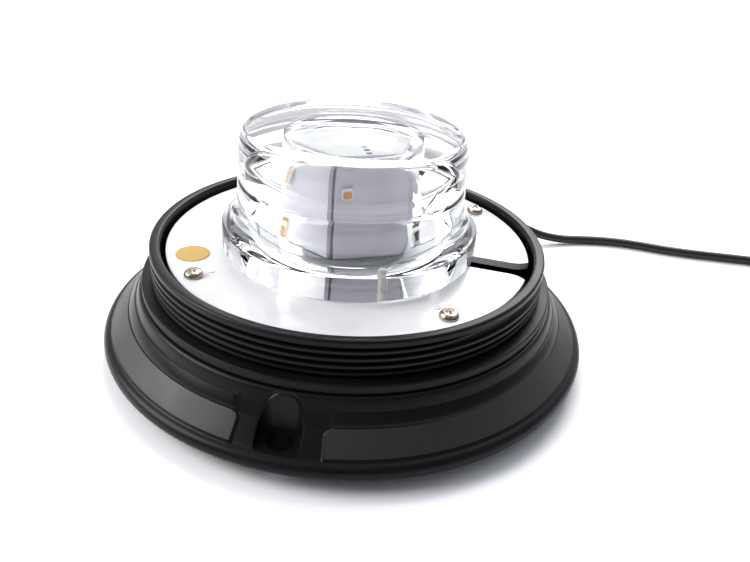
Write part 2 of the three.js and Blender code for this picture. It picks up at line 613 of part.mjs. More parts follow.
// The last stretch, with its sheath stripped off two tinned cores.
const tailRoute = [
  [181.8, 97.1, 6.0], [187.5, 96.9, 3.7], [192.7, 95.1, 2.2], [197.8, 91.6, lieZ + 0.05], [202, 86.7, lieZ],
];
piece('supply_lead_tail', tube(tailRoute, CORD_R, 14, 8), 'sheath');
const tailEnd = tailRoute[tailRoute.length - 1];
const tailTurn = Math.atan2(-0.77, 0.64);
const sleeveR = CORD_R + 0.6;
const sleeveL = 9;
const ending = new THREE.Group();
ending.position.set(tailEnd[0], tailEnd[1], 0);
ending.rotation.z = tailTurn;
beacon.add(ending);
const along = (geometry) => geometry.rotateY(Math.PI / 2);
piece('sheath_sleeve', along(rod(sleeveR, GAP, sleeveL, 12)).translate(0, 0, sleeveR), 'black', ending);
[['core_red', 'red', 1], ['core_black', 'black', -1]].forEach(([name, finish, side]) => {
  const coreR = 0.75;
  const start = sleeveL + GAP;
  const coreRoute = [
    [start, side, sleeveR], [start + 6, side * 1.4, coreR + 0.6], [start + 14, side * 3.2, coreR], [start + 22, side * 4, coreR],
  ];
  piece(name, tube(coreRoute, coreR, 10, 6), finish, ending);
  const tip = along(rod(coreR * 0.8, 0, 6, 8)).translate(start + 22 + GAP, side * 4, coreR);
  piece(name.replace('core', 'tinned_tip'), tip, 'tinned', ending);
});

export default beacon;
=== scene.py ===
# %% [markdown]
# # LED safety flare, base unit
#
# The object is the base of a three-bolt warning beacon with its coloured dome unscrewed.
# A black moulded housing carries an external thread. Inside it a white plate holds a clear optic,
# and in the optic stands a six-sided tower of LED boards. A thin supply lead leaves at the back.
#
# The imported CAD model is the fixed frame: it gives every place and size. The pieces made here stand for
# CAD nodes that are too coarse for a close look, and the other nodes only get better materials.

import bmesh
import bpy
import numpy as np
from mathutils import Matrix, Vector


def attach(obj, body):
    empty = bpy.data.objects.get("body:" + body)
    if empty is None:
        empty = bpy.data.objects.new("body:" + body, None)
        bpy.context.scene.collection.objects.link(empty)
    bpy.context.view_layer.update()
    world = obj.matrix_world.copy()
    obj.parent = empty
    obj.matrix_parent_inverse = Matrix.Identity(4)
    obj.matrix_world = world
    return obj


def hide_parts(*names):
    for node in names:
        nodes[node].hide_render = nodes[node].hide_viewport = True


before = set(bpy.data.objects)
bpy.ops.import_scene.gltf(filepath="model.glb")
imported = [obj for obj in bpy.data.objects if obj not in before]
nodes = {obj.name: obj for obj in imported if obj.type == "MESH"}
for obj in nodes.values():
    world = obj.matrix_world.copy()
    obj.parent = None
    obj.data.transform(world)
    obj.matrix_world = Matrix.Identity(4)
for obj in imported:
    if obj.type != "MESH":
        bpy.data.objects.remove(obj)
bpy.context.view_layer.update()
MM = 0.001

# %% [markdown]
# The camera comes before the pieces, because the lead's spare length has to lie outside its view.
# It stands in front and a little to the right, looks down on the object and is held slightly askew.

# %% Camera
camera_at = Vector((43.30, -193.70, 128.72)) * MM
looks_at = Vector((8.31, 1.49, 17.69)) * MM
askew = np.radians(3.93)

forward = (looks_at - camera_at).normalized()
level = forward.cross(Vector((0, 0, 1))).normalized()
above = level.cross(forward)
right = level * np.cos(askew) + above * np.sin(askew)
up = above * np.cos(askew) - level * np.sin(askew)
turn = Matrix((right, up, -forward)).transposed()

lens = bpy.data.cameras.new("camera")
lens.sensor_width = 36
lens.lens = 35.58
lens.clip_start = 0.01
camera = bpy.data.objects.new("camera", lens)
camera.matrix_world = Matrix.Translation(camera_at) @ turn.to_4x4()
bpy.context.scene.collection.objects.link(camera)
bpy.context.scene.camera = camera
print("camera", round((camera_at - looks_at).length, 3), "m from what it looks at")

# %% [markdown]
# ## Helpers for shapes
#
# A shape here is a pair: an array of points in millimetres and a list of faces. Grids of points make
# the surfaces, so every shape can be written as a formula of two parameters.

# %% Shape helpers
def grid(points, close_rows=False, close_columns=True):
    """Points on rows and columns, joined by four-sided faces; the last row or column may join the first."""
    rows, columns = points.shape[:2]
    index = np.arange(rows * columns).reshape(rows, columns)
    if close_rows:
        index = np.vstack([index, index[:1]])
    if close_columns:
        index = np.hstack([index, index[:, :1]])
    corners = [index[:-1, :-1], index[:-1, 1:], index[1:, 1:], index[1:, :-1]]
    return points.reshape(-1, 3), np.stack(corners, -1).reshape(-1, 4)


def joined(*shapes):
    """Several shapes as one."""
    points, faces, count = [], [], 0
    for p, f in shapes:
        points.append(p)
        faces.append(f + count)
        count += len(p)
    return np.vstack(points), np.vstack(faces)


def moved(shape, x=0.0, y=0.0, z=0.0, turned_by=0.0):
    """A shape turned about Z by an angle in degrees, then shifted."""
    points, faces = shape
    a = np.radians(turned_by)
    out = points.copy()
    out[:, 0] = points[:, 0] * np.cos(a) - points[:, 1] * np.sin(a) + x
    out[:, 1] = points[:, 0] * np.sin(a) + points[:, 1] * np.cos(a) + y
    out[:, 2] += z
    return out, faces


def around(r, azimuth):
    """x and y of a point at radius r; the azimuth counts from the front (-Y) towards +X, in degrees."""
    a = np.radians(azimuth)
    return r * np.sin(a), -r * np.cos(a)


def soft_profile(corners, radius, steps=3):
    """A profile whose inner corners are rounded by a curve of the given radius, one radius or one each."""
    corners = np.asarray(corners, float)
    radius = np.broadcast_to(radius, len(corners))
    out = [corners[0]]
    for before, here, after, r in zip(corners[:-2], corners[1:-1], corners[2:], radius[1:-1]):
        a, b = before - here, after - here
        cut = min(r, 0.45 * np.hypot(*a), 0.45 * np.hypot(*b))
        start, end = here + a / np.hypot(*a) * cut, here + b / np.hypot(*b) * cut
        t = np.linspace(0, 1, steps + 1)[:, None]
        out.extend((1 - t) ** 2 * start + 2 * t * (1 - t) * here + t**2 * end)
    out.append(corners[-1])
    return np.array(out)


def turned(profile, columns=160, ring=False):
    """A profile of (radius, height) carried round Z, rising on its outer side; a ring's profile closes on
    itself."""
    profile = np.asarray(profile, float)
    a = np.linspace(0, 2 * np.pi, columns, endpoint=False)
    r, z = profile[:, 0][:, None], profile[:, 1][:, None]
    points = np.stack([r * np.sin(a), -r * np.cos(a), z + 0 * a], -1)
    return grid(points, close_rows=ring)


def tube(line, radius, sides=12):
    """A round section carried along a line of points, closed at both ends.

    The section's side vector is the line's direction crossed with up, so the tube never twists."""
    line = np.asarray(line, float)
    along = np.gradient(line, axis=0)
    along /= np.linalg.norm(along, axis=1)[:, None]
    side = np.cross(along, [0, 0, 1.0])
    side /= np.linalg.norm(side, axis=1)[:, None]
    top = np.cross(side, along)
    a = np.linspace(0, 2 * np.pi, sides, endpoint=False)
    r = np.broadcast_to(radius, len(line))[:, None] * np.ones(sides)
    across = (r * np.cos(a))[..., None] * side[:, None]
    upward = (r * np.sin(a))[..., None] * top[:, None]
    points = line[:, None] + across + upward
    ends = [np.repeat(line[i][None, None], sides, 1) for i in (0, -1)]
    return grid(np.concatenate([ends[0], points, ends[1]]))


def through(points, spacing=1.0):
    """A smooth line through the points (Catmull-Rom), resampled to an even spacing."""
    p = np.asarray(points, float)
    p = np.vstack([2 * p[0] - p[1], p, 2 * p[-1] - p[-2]])
    t = np.linspace(0, 1, 24, endpoint=False)[:, None]
    pieces = []
    for a, b, c, d in zip(p[:-3], p[1:-2], p[2:-1], p[3:]):
        square = (2 * a - 5 * b + 4 * c - d) * t**2
        cubic = (3 * b - a - 3 * c + d) * t**3
        pieces.append(0.5 * (2 * b + (c - a) * t + square + cubic))
    dense = np.vstack(pieces + [p[-2:-1]])
    return evenly(dense, spacing)


def evenly(line, spacing):
    """The same line with its points a fixed distance apart."""
    run = np.concatenate([[0], np.cumsum(np.linalg.norm(np.diff(line, axis=0), axis=1))])
    s = np.linspace(0, run[-1], max(2, int(round(run[-1] / spacing)) + 1))
    return np.stack([np.interp(s, run, line[:, k]) for k in range(3)], -1)


def make_piece(name, shape, material, replaced=(), sharp=32, face_material=None, body="root"):
    """Puts a shape into a new object in metres, merges its doubled points, smooths it, and ties it to the
    frame."""
    points, faces = shape
    mesh = bpy.data.meshes.new(name)
    mesh.from_pydata((points * MM).tolist(), [], faces.tolist())
    obj = bpy.data.objects.new(name, mesh)
    bpy.context.scene.collection.objects.link(obj)
    materials = material if isinstance(material, (list, tuple)) else [material]
    for m in materials:
        mesh.materials.append(m)
    if face_material is not None:
        mesh.polygons.foreach_set("material_index", np.asarray(face_material, np.int32))
    weld(mesh)
    finish_normals(mesh, sharp)
    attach(obj, body)
    if replaced:
        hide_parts(*([replaced] if isinstance(replaced, str) else replaced))
    print(f"{name}: {len(mesh.polygons)} faces")
    return obj


def weld(mesh, distance=2e-6):
    """Merges points closer than the distance, which closes seams and poles."""
    work = bmesh.new()
    work.from_mesh(mesh)
    bmesh.ops.remove_doubles(work, verts=work.verts, dist=distance)
    work.to_mesh(mesh)
    work.free()


def finish_normals(mesh, sharp):
    """Smooth shading, with edges kept crisp where two faces meet at more than the angle, in degrees."""
    mesh.polygons.foreach_set("use_smooth", np.ones(len(mesh.polygons), bool))
    mesh.set_sharp_from_angle(angle=np.radians(sharp))
    mesh.update()


# %% [markdown]
# ## Helpers for materials
#
# Colours are written as the hex values a paint program shows, and turned to the linear values that the
# renderer mixes. One function adds any node, sets its properties and fills its inputs.

# %% Material helpers
def colour(hex_value):
    """An sRGB hex value as linear red, green, blue and an alpha of one."""
    value = np.array([int(hex_value[i : i + 2], 16) for i in (1, 3, 5)]) / 255
    linear = np.where(value <= 0.04045, value / 12.92, ((value + 0.055) / 1.055) ** 2.4)
    return (*linear.tolist(), 1.0)


def add_node(owner, kind, inputs=None, stops=(), **settings):
    """Adds a node, sets its properties and colour stops, and gives its inputs values or links from other
    outputs."""
    tree = owner.node_tree
    node = tree.nodes.new(kind)
    for name, value in settings.items():
        setattr(node, name, value)
    for i, (position, hex_value) in enumerate(stops):
        element = node.color_ramp.elements[i] if i < 2 else node.color_ramp.elements.new(position)
        element.position, element.color = position, colour(hex_value)
    for socket, value in (inputs or {}).items():
        if isinstance(value, bpy.types.NodeSocket):
            tree.links.new(value, node.inputs[socket])
        else:
            node.inputs[socket].default_value = value
    return node


def new_material(name, **surface):
    """A material with one Principled surface; its sockets take plain values here and links afterwards."""
    material = bpy.data.materials.new(name)
    material.use_nodes = True
    material.node_tree.nodes.clear()
    shader = add_node(material, "ShaderNodeBsdfPrincipled",
                      {k.replace("_", " "): v for k, v in surface.items()})
    add_node(material, "ShaderNodeOutputMaterial", {"Surface": shader.outputs["BSDF"]})
    return material, shader


def connect(material, output, socket):
    """Links one node's output to another node's socket."""
    material.node_tree.links.new(output, socket)


def per_metre(size_mm):
    """The scale of a noise whose grains are about this many millimetres across."""
    return 1 / (size_mm * MM)


# %% [markdown]
# ## Materials
#
# The housing is black polycarbonate. Its mould was polished on the bands, the collar and the pockets,
# and spark-eroded on the wide panels, which leaves a fine grain that scatters light and looks greyer.

# %% Black polycarbonate, satin and spark-eroded
FLOW_MM = 22.0      # width of the slow changes of gloss


def housing_plastic(name, hex_dark, hex_light, roughness, grain_mm, grain_depth_mm, spread=0.07,
                    mirror=0.15):
    """Moulded plastic or rubber: a fine grain in the bump, and slow changes of gloss as from flow.

    The mirror level is matched to the dull black skin, and is lower than the 0.5 of clean polished
    plastic."""
    material, shader = new_material(name, Base_Color=colour(hex_dark), Roughness=roughness, IOR=1.5,
                                    Specular_IOR_Level=mirror)
    place = add_node(material, "ShaderNodeTexCoord").outputs["Object"]
    grain = add_node(material, "ShaderNodeTexNoise",
                     {"Vector": place, "Scale": per_metre(grain_mm), "Detail": 3.0})
    flow = add_node(material, "ShaderNodeTexNoise",
                    {"Vector": place, "Scale": per_metre(FLOW_MM), "Detail": 2.0})
    tint = add_node(material, "ShaderNodeValToRGB", {"Fac": grain.outputs["Fac"]},
                    [(0.3, hex_dark), (0.75, hex_light)])
    gloss = add_node(material, "ShaderNodeMapRange",
                     {"Value": flow.outputs["Fac"], 1: 0.3, 2: 0.7, 3: roughness - spread,
                      4: roughness + spread})
    bump = add_node(material, "ShaderNodeBump",
                    {"Height": grain.outputs["Fac"], "Distance": grain_depth_mm * MM, "Strength": 1.0})
    connect(material, tint.outputs["Color"], shader.inputs["Base Color"])
    connect(material, gloss.outputs[0], shader.inputs["Roughness"])
    connect(material, bump.outputs["Normal"], shader.inputs["Normal"])
    return material


satin_pc = housing_plastic("polycarbonate_black_satin", "#08090b", "#0e0f12", 0.34, 0.35, 0.004)
# A spark-eroded grain is typically about 0.2 mm; it is drawn at 0.45 mm so that it shows.
eroded_pc = housing_plastic("polycarbonate_black_spark_eroded", "#121213", "#1e1e1f", 0.5, 0.45, 0.03,
                            mirror=0.5)

# %% [markdown]
# The seal and the gasket are EPDM, a dull black rubber. The small moulded parts are nylon, and the lead's
# sheath is soft PVC. All are dark moulded skins with a fine grain, so the housing's recipe serves them with
# other colours and other grain sizes.

# %% Rubber, nylon and the lead's PVC
epdm = housing_plastic("EPDM_rubber_black", "#090a0b", "#101113", 0.42, 0.5, 0.006)
nylon_black_and_slot_shade = housing_plastic("nylon_black_and_slot_shade", "#101112", "#1a1b1c", 0.45, 0.6, 0.01)
pvc_sheath = housing_plastic("PVC_sheath_black", "#121316", "#1c1e22", 0.4, 0.8, 0.01, mirror=0.4)
pvc_red = housing_plastic("PVC_insulation_red", "#9c1712", "#b3231c", 0.38, 0.8, 0.01)

# %% [markdown]
# The white plate is a glossy injection-moulded disc. Under it hides the driver; it works as a reflector.

# %% White plate, cap and board mask
def white_plastic(name, hex_low, hex_high, roughness):
    """White moulded plastic or solder mask: a broad faint cloudiness and a very shallow orange peel."""
    material, shader = new_material(name, Base_Color=colour(hex_high), Roughness=roughness, IOR=1.52)
    cloud_mm, peel_mm, peel_depth_mm = 9, 1.4, 0.006
    place = add_node(material, "ShaderNodeTexCoord").outputs["Object"]
    cloud = add_node(material, "ShaderNodeTexNoise",
                     {"Vector": place, "Scale": per_metre(cloud_mm), "Detail": 3.0})
    peel = add_node(material, "ShaderNodeTexNoise",
                    {"Vector": place, "Scale": per_metre(peel_mm), "Detail": 1.0})
    tint = add_node(material, "ShaderNodeValToRGB", {"Fac": cloud.outputs["Fac"]},
                    [(0.35, hex_low), (0.65, hex_high)])
    bump = add_node(material, "ShaderNodeBump",
                    {"Height": peel.outputs["Fac"], "Distance": peel_depth_mm * MM, "Strength": 0.6})
    connect(material, tint.outputs["Color"], shader.inputs["Base Color"])
    connect(material, bump.outputs["Normal"], shader.inputs["Normal"])
    return material


plate_abs = white_plastic("ABS_white_gloss", "#d0d0d3", "#d6d6d9", 0.2)
nylon_white = white_plastic("nylon_white", "#e6e6e4", "#eeeeec", 0.4)
cap_pc = white_plastic("polycarbonate_white_cap", "#efefee", "#f7f7f6", 0.3)
solder_mask = white_plastic("solder_mask_white", "#d8d6e4", "#e4e2ee", 0.32)
led_body = white_plastic("PPA_white_led_body", "#f0efe9", "#f6f5f0", 0.35)

# %% [markdown]
# The plate screws are nickel-plated steel, warm in tint and glossy. Brass, aluminium and tinned copper are
# duller. A metal has no colour under its shine, so it is the tint and the gloss of the shine that change,
# along a fine noise that stands for handling marks.

# %% Metals
def metal(name, hex_dark, hex_light, roughness, scratch_mm):
    """Plated or bare metal: the tint and gloss change with a fine noise."""
    material, shader = new_material(name, Base_Color=colour(hex_light), Roughness=roughness, Metallic=1.0)
    place = add_node(material, "ShaderNodeTexCoord").outputs["Object"]
    streak = add_node(material, "ShaderNodeTexNoise",
                      {"Vector": place, "Scale": per_metre(scratch_mm), "Detail": 4.0})
    tint = add_node(material, "ShaderNodeValToRGB", {"Fac": streak.outputs["Fac"]},
                    [(0.3, hex_dark), (0.7, hex_light)])
    gloss = add_node(material, "ShaderNodeMapRange",
                     {"Value": streak.outputs["Fac"], 1: 0.3, 2: 0.7, 3: roughness * 0.8,
                      4: roughness * 1.3})
    connect(material, tint.outputs["Color"], shader.inputs["Base Color"])
    connect(material, gloss.outputs[0], shader.inputs["Roughness"])
    return material


nickel = metal("nickel_plated_steel", "#8f8070", "#d2c6b4", 0.16, 1.0)
brass = metal("brass_turned", "#a8843c", "#d8b566", 0.28, 0.8)
aluminium = metal("aluminium_extruded", "#a6a8ac", "#c4c6ca", 0.38, 0.7)
tinned = metal("tinned_copper", "#a4a6aa", "#cfd0d4", 0.26, 0.6)
print("metals", nickel.name, brass.name, aluminium.name, tinned.name)

# %% [markdown]
# The optic is clear PMMA, the plastic of lamp lenses. It is a real refracting body here: light bends
# at its skin by the index 1.49 and nothing else is painted on it. The surface is polished, so its roughness
# is nil.

# %% Clear acrylic
acrylic, _ = new_material(
    "PMMA_clear", Base_Color=colour("#fdfefe"), Roughness=0.0, IOR=1.49, Transmission_Weight=1.0)

# %% [markdown]
# Three small finishes are left: the green glass-fibre laminate of the driver board, the matt face of the
# yellow dot and the amber phosphor on the LEDs.

# %% Driver laminate, adhesive dot, LED phosphor
laminate = housing_plastic("FR4_laminate_green", "#17492f", "#1f5d3c", 0.4, 0.6, 0.008)
dot_paper = white_plastic("adhesive_dot_yellow", "#a98532", "#af8a36", 0.6)
phosphor = white_plastic("LED_phosphor_amber", "#e0952a", "#eda63a", 0.4)

# %% [markdown]
# ## Floor and light
#
# The object stands on a plain white floor. A soft sky and two square softboxes light it. They are lights
# and a world shader. The one painted shade on the pieces is the black blocks in the tower cap's slots.

# %% Floor and light
floor_paint, _ = new_material("studio_floor_white", Base_Color=colour("#f4f5f8"), Roughness=0.7)
floor_mesh = bpy.data.meshes.new("floor")
reach = 4.0
floor_mesh.from_pydata([(-reach, -reach, 0), (reach, -reach, 0), (reach, reach, 0), (-reach, reach, 0)], [],
                       [(0, 1, 2, 3)])
floor_mesh.materials.append(floor_paint)
floor = bpy.data.objects.new("floor", floor_mesh)
floor.location.z = -0.0002
bpy.context.scene.collection.objects.link(floor)

# The sky is a white backdrop behind and above the object, and falls off to grey on the camera's side, as in
# a small light tent with an open front.
sky = bpy.data.worlds.new("studio")
sky.use_nodes = True
sky.node_tree.nodes.clear()
direction = add_node(sky, "ShaderNodeTexCoord").outputs["Generated"]
towards_tent = add_node(sky, "ShaderNodeVectorMath", {0: direction, 1: (-0.42, 0.80, 0.42)},
                        operation="DOT_PRODUCT")
tent = add_node(sky, "ShaderNodeMapRange",
                {"Value": towards_tent.outputs["Value"], 1: -0.35, 2: 0.55, 3: 0.30, 4: 1.0},
                interpolation_type="SMOOTHSTEP")
backdrop = add_node(sky, "ShaderNodeBackground", {"Color": colour("#eef1f9"), "Strength": tent.outputs[0]})
add_node(sky, "ShaderNodeOutputWorld", {"Surface": backdrop.outputs["Background"]})
bpy.context.scene.world = sky


def softbox(name, at, size, power, tone="#ffffff"):
    """A square area light in metres, facing the object's middle."""
    light = bpy.data.lights.new(name, "AREA")
    light.shape = "SQUARE"
    light.size = size
    light.energy = power
    light.color = colour(tone)[:3]
    obj = bpy.data.objects.new(name, light)
    at = Vector(at)
    aim = (Vector((0, 0, 0.03)) - at).to_track_quat("-Z", "Y")
    obj.matrix_world = Matrix.Translation(at) @ aim.to_matrix().to_4x4()
    bpy.context.scene.collection.objects.link(obj)
    return obj


softbox("left_softbox", (-0.80, -0.22, 0.58), 0.6, 10.0, "#fffdf8")
softbox("back_softbox", (0.0, 0.95, 0.95), 1.0, 24.0, "#fffdfa")
bpy.context.scene.view_settings.view_transform = "Standard"
print("lights", [light.name for light in bpy.data.lights])

# %% [markdown]
# ## Supply lead
#
# A thin round lead with two cores, 3.2 mm over its sheath. It leaves the strain relief level, drops to the
# surface in a short curve and runs off to the right. What the camera doesn't see is wound in a coil of nine
# turns, held by a tie, and the stripped end lies beside it.

# %% Lead: the free stretch and the coil
CORD_R = 1.6
GLAND, EXIT_Z = 150, 10.2      # where the lead leaves: degrees from the front, and height
COIL_AT = np.array([174.0, 74.0])
COIL_MID = 17.6
exit_point = (*around(87.3, GLAND), EXIT_Z)
free_route = [
    exit_point, (*around(90, GLAND), EXIT_Z), (48.6, 80.6, 8.6), (53.6, 82.6, 6.0), (60.0, 84.0, 3.6),
              (67.6, 86.6, 2.0),
    (75.6, 89.4, 1.6), (83.5, 91.2, 1.6), (91.5, 92.1, 1.6), (99.3, 91.9, 1.6), (107.1, 91.2, 1.6),
              (114.7, 91.0, 1.6),
    (122.4, 91.3, 1.6), (130.1, 91.8, 1.6), (137.6, 92.3, 1.6), (144.4, 92.7, 1.6), (151.0, 93.1, 1.6),
              (159.8, 93.8, 1.6),
]


def coil_line():
    """Nine turns as a path over a three by three grid of places in the ring's section.

    Every turn keeps its place for most of a round and then moves to the next one over a short arc. Each
    change starts a little earlier in the round than the one before it, so no two turns ever meet."""
    pitch = 2 * CORD_R
    places = [(1, 0), (0, 0), (-1, 0), (-1, 1), (-1, 2), (0, 2), (0, 1), (1, 1), (1, 2)]
    radii = COIL_MID + pitch * np.array([p[0] for p in places])
    heights = CORD_R + pitch * np.array([p[1] for p in places])
    change = 40.0
    start = 94.4
    turns = len(places)
    angle = np.arange(0, 360 * (turns - 1) + 0.1, 4.0)
    moves = 300 + (360 - change) * np.arange(turns - 1)
    step = np.clip((angle[:, None] - moves) / change, 0, 1)
    step = step * step * (3 - 2 * step)
    r = radii[0] + (step * np.diff(radii)).sum(1)
    z = heights[0] + (step * np.diff(heights)).sum(1)
    a = np.radians(start - angle)
    near_tie = np.exp(-(((np.degrees(a) + 180) % 360 - 180) / 26.0) ** 2)
    z = z + 0.8 * near_tie
    line = np.stack([COIL_AT[0] + r * np.cos(a), COIL_AT[1] + r * np.sin(a), z], -1)
    return line, start


coil, last_angle = coil_line()
leave = np.array([0.0, 8, 16, 25, 35, 46, 58, 70])
leave_r = np.array([20.8, 21.6, 23.1, 24.9, 26.6, 28.2, 29.6, 30.8])
leave_z = np.array([8.0, 7.9, 7.2, 5.6, 3.7, 2.2, 1.65, 1.6])
leave_a = np.radians(last_angle - leave)
tail = np.stack([COIL_AT[0] + leave_r * np.cos(leave_a), COIL_AT[1] + leave_r * np.sin(leave_a), leave_z],
                -1)
print("coil ends at", round(float(last_angle), 1), "degrees, tail ends at", np.round(tail[-1], 1))
free = through(free_route, 2.0)
lead_line = evenly(np.vstack([free[:-1], coil[:-1], through(tail, 2.0)]), 1.8)

# %% [markdown]
# The sheath is a tube carried along that line. The section is plain and round, as the sheath is smooth.

# %% Lead: its surface
lead = make_piece(
    "supply_lead_sheath", tube(lead_line, CORD_R, 16), pvc_sheath,
    ["supply_lead", "supply_lead_coil", "supply_lead_tail"], sharp=60)

# %% [markdown]
# A nylon tie holds the coil. Its band follows a rounded square round the bundle, and the head sits on top.

# %% Coil tie
def band_round(centre, half, thickness, width):
    """A flat band bent round a rounded square: |x|^8 + |z|^8 is constant along it, and its section is a
    rectangle."""
    t = np.linspace(0, 2 * np.pi, 72, endpoint=False)
    size = (np.abs(np.cos(t)) ** 8 + np.abs(np.sin(t)) ** 8) ** (-1 / 8)
    section = [(0, -1), (0, 1), (1, 1), (1, -1)]
    rows = []
    for out, across in section:
        r = (half + thickness * out) * size
        rows.append(np.stack([r * np.cos(t), np.full_like(t, across * width / 2), r * np.sin(t)], -1))
    points = np.stack(rows) + np.asarray(centre)
    return grid(points, close_rows=True)


def block(centre, size, soft=0.3):
    """A box with softened edges: a ball's grid pushed out to |x|^p + |y|^p + |z|^p = 1, p = 4 / soft, and
    scaled."""
    v = np.linspace(-np.pi / 2, np.pi / 2, 25)[:, None]
    u = np.linspace(0, 2 * np.pi, 48, endpoint=False)[None]
    ball = np.stack([np.cos(v) * np.cos(u), np.cos(v) * np.sin(u), np.sin(v) + 0 * u], -1)
    power = 4 / soft
    size_to = (np.abs(ball) ** power).sum(-1, keepdims=True) ** (-1 / power)
    return grid(ball * size_to * np.asarray(size) / 2 + np.asarray(centre))


tie_at = (COIL_AT[0] + COIL_MID, COIL_AT[1], 5.6)
tie = make_piece(
    "coil_tie_nylon",
    joined(
        band_round(tie_at, 4.95, 0.6, 2.5),
        block((tie_at[0] + 1.0, tie_at[1], 11.9), (3.4, 4.0, 2.8)),
        block((tie_at[0] - 1.6, tie_at[1], 13.4), (7.5, 2.3, 0.8)),
    ),
    nylon_black_and_slot_shade, "coil_tie", sharp=40)

# %% [markdown]
# At the far end the sheath is stripped. A heat-shrink sleeve closes it, and two insulated cores with tinned
# ends lie on the surface, ready for the vehicle's wiring.

# %% Stripped end
end_at = lead_line[-1]
end_turn = float(np.degrees(np.arctan2(-0.77, 0.64)))


def at_end(shape):
    """A shape made along +X at the origin, put at the lead's end."""
    return moved(shape, end_at[0], end_at[1], 0, end_turn)


def along_x(profile, columns=40):
    """A profile of (radius, distance) carried round the X axis."""
    points, faces = turned(profile, columns)
    return np.stack([points[:, 2], points[:, 0], points[:, 1]], -1), faces


sleeve_profile = soft_profile([(0, 0.3), (1.75, 0.3), (2.15, 1.2), (2.2, 7.4), (1.9, 9.0), (0, 9.0)], 0.5)
sleeve = make_piece("heat_shrink_sleeve", at_end(moved(along_x(sleeve_profile), z=2.2)), nylon_black_and_slot_shade,
                    "sheath_sleeve")
for core, plastic, side in (("core_red", pvc_red, 1), ("core_black", pvc_sheath, -1)):
    core_line = through([(8.6, side, 2.2), (15.3, side * 1.4, 1.35), (23.3, side * 3.2, 0.75),
                         (31.0, side * 4, 0.75)], 0.8)
    make_piece(core + "_insulation", at_end(tube(core_line, 0.75, 16)), plastic, core,
                           sharp=60)
    strands = along_x(soft_profile([(0, 0), (0.58, 0), (0.62, 0.5), (0.6, 5.4), (0.35, 6), (0, 6)], 0.3))
    tip_name = core.replace("core", "tinned_tip")
    make_piece(tip_name + "_wire", at_end(moved(strands, 31.0, side * 4, 0.72)), tinned,
                           tip_name)

# %% [markdown]
# ## Housing
#
# The skirt is one closed ring of a surface: its outline in radius and height depends on the direction.
# Between the bolts it carries wide spark-eroded panels with a polished band above. Near each bolt pocket
# the panel ends in a rounded corner and the skirt is a plain polished cone. The hollow under the skirt is
# part of the same outline, and it closes up where a rib, a pocket or the lead's exit needs material.

# %% Housing: sizes
FLANGE_R, BEAD_R, FOOT_H, SKIRT_H, RIM_Z = 72.0, 2.3, 3.2, 20.0, 33.3
COLLAR_R, ROOT_R, BORE_R, FLOOR_Z = 57.3, 56.1, 54.3, 5.7
BOLT_R, BOLTS = 65.0, np.array([0.0, 120.0, 240.0])
RIBS = np.array([60.0, 90.0, 180.0, 210.0, 300.0])
PLATE_TOP, PLATE_R, SCREW_R = 31.1, 52.9, 48.3
SCREWS = (45, 135, 225, 315)
POCKET_SPAN, RIB_SPAN, BOSS_SPAN = 7.4, 1.1, 4.6      # half of what each one takes up, in degrees
print("housing", 2 * FLANGE_R, "mm across,", RIM_Z, "mm up to its rim")


def cone_height(r):
    """Height of the plain slope round a pocket: it runs from the skirt's head to its foot, just under the
    panels."""
    return np.interp(r, [59.9, 60.9, 61.5, 62.6, 64.2, 69.3], [SKIRT_H, 19.75, 18.5, 15.95, 13.4, 7.9])


def away_from(azimuth, places):
    """Degrees from each azimuth to the nearest of the places."""
    gap = (azimuth[:, None] - np.asarray(places)[None] + 180) % 360 - 180
    return np.abs(gap).min(1)


def smooth(x, start, end):
    """A soft step from 0 at start to 1 at end."""
    t = np.clip((x - start) / (end - start), 0, 1)
    return t * t * (3 - 2 * t)


# %% [markdown]
# The skirt is a grid whose rows are the outline and whose columns are directions. Two outlines are given,
# one through a panel and one through the plain cone, and each column is a blend of the two.

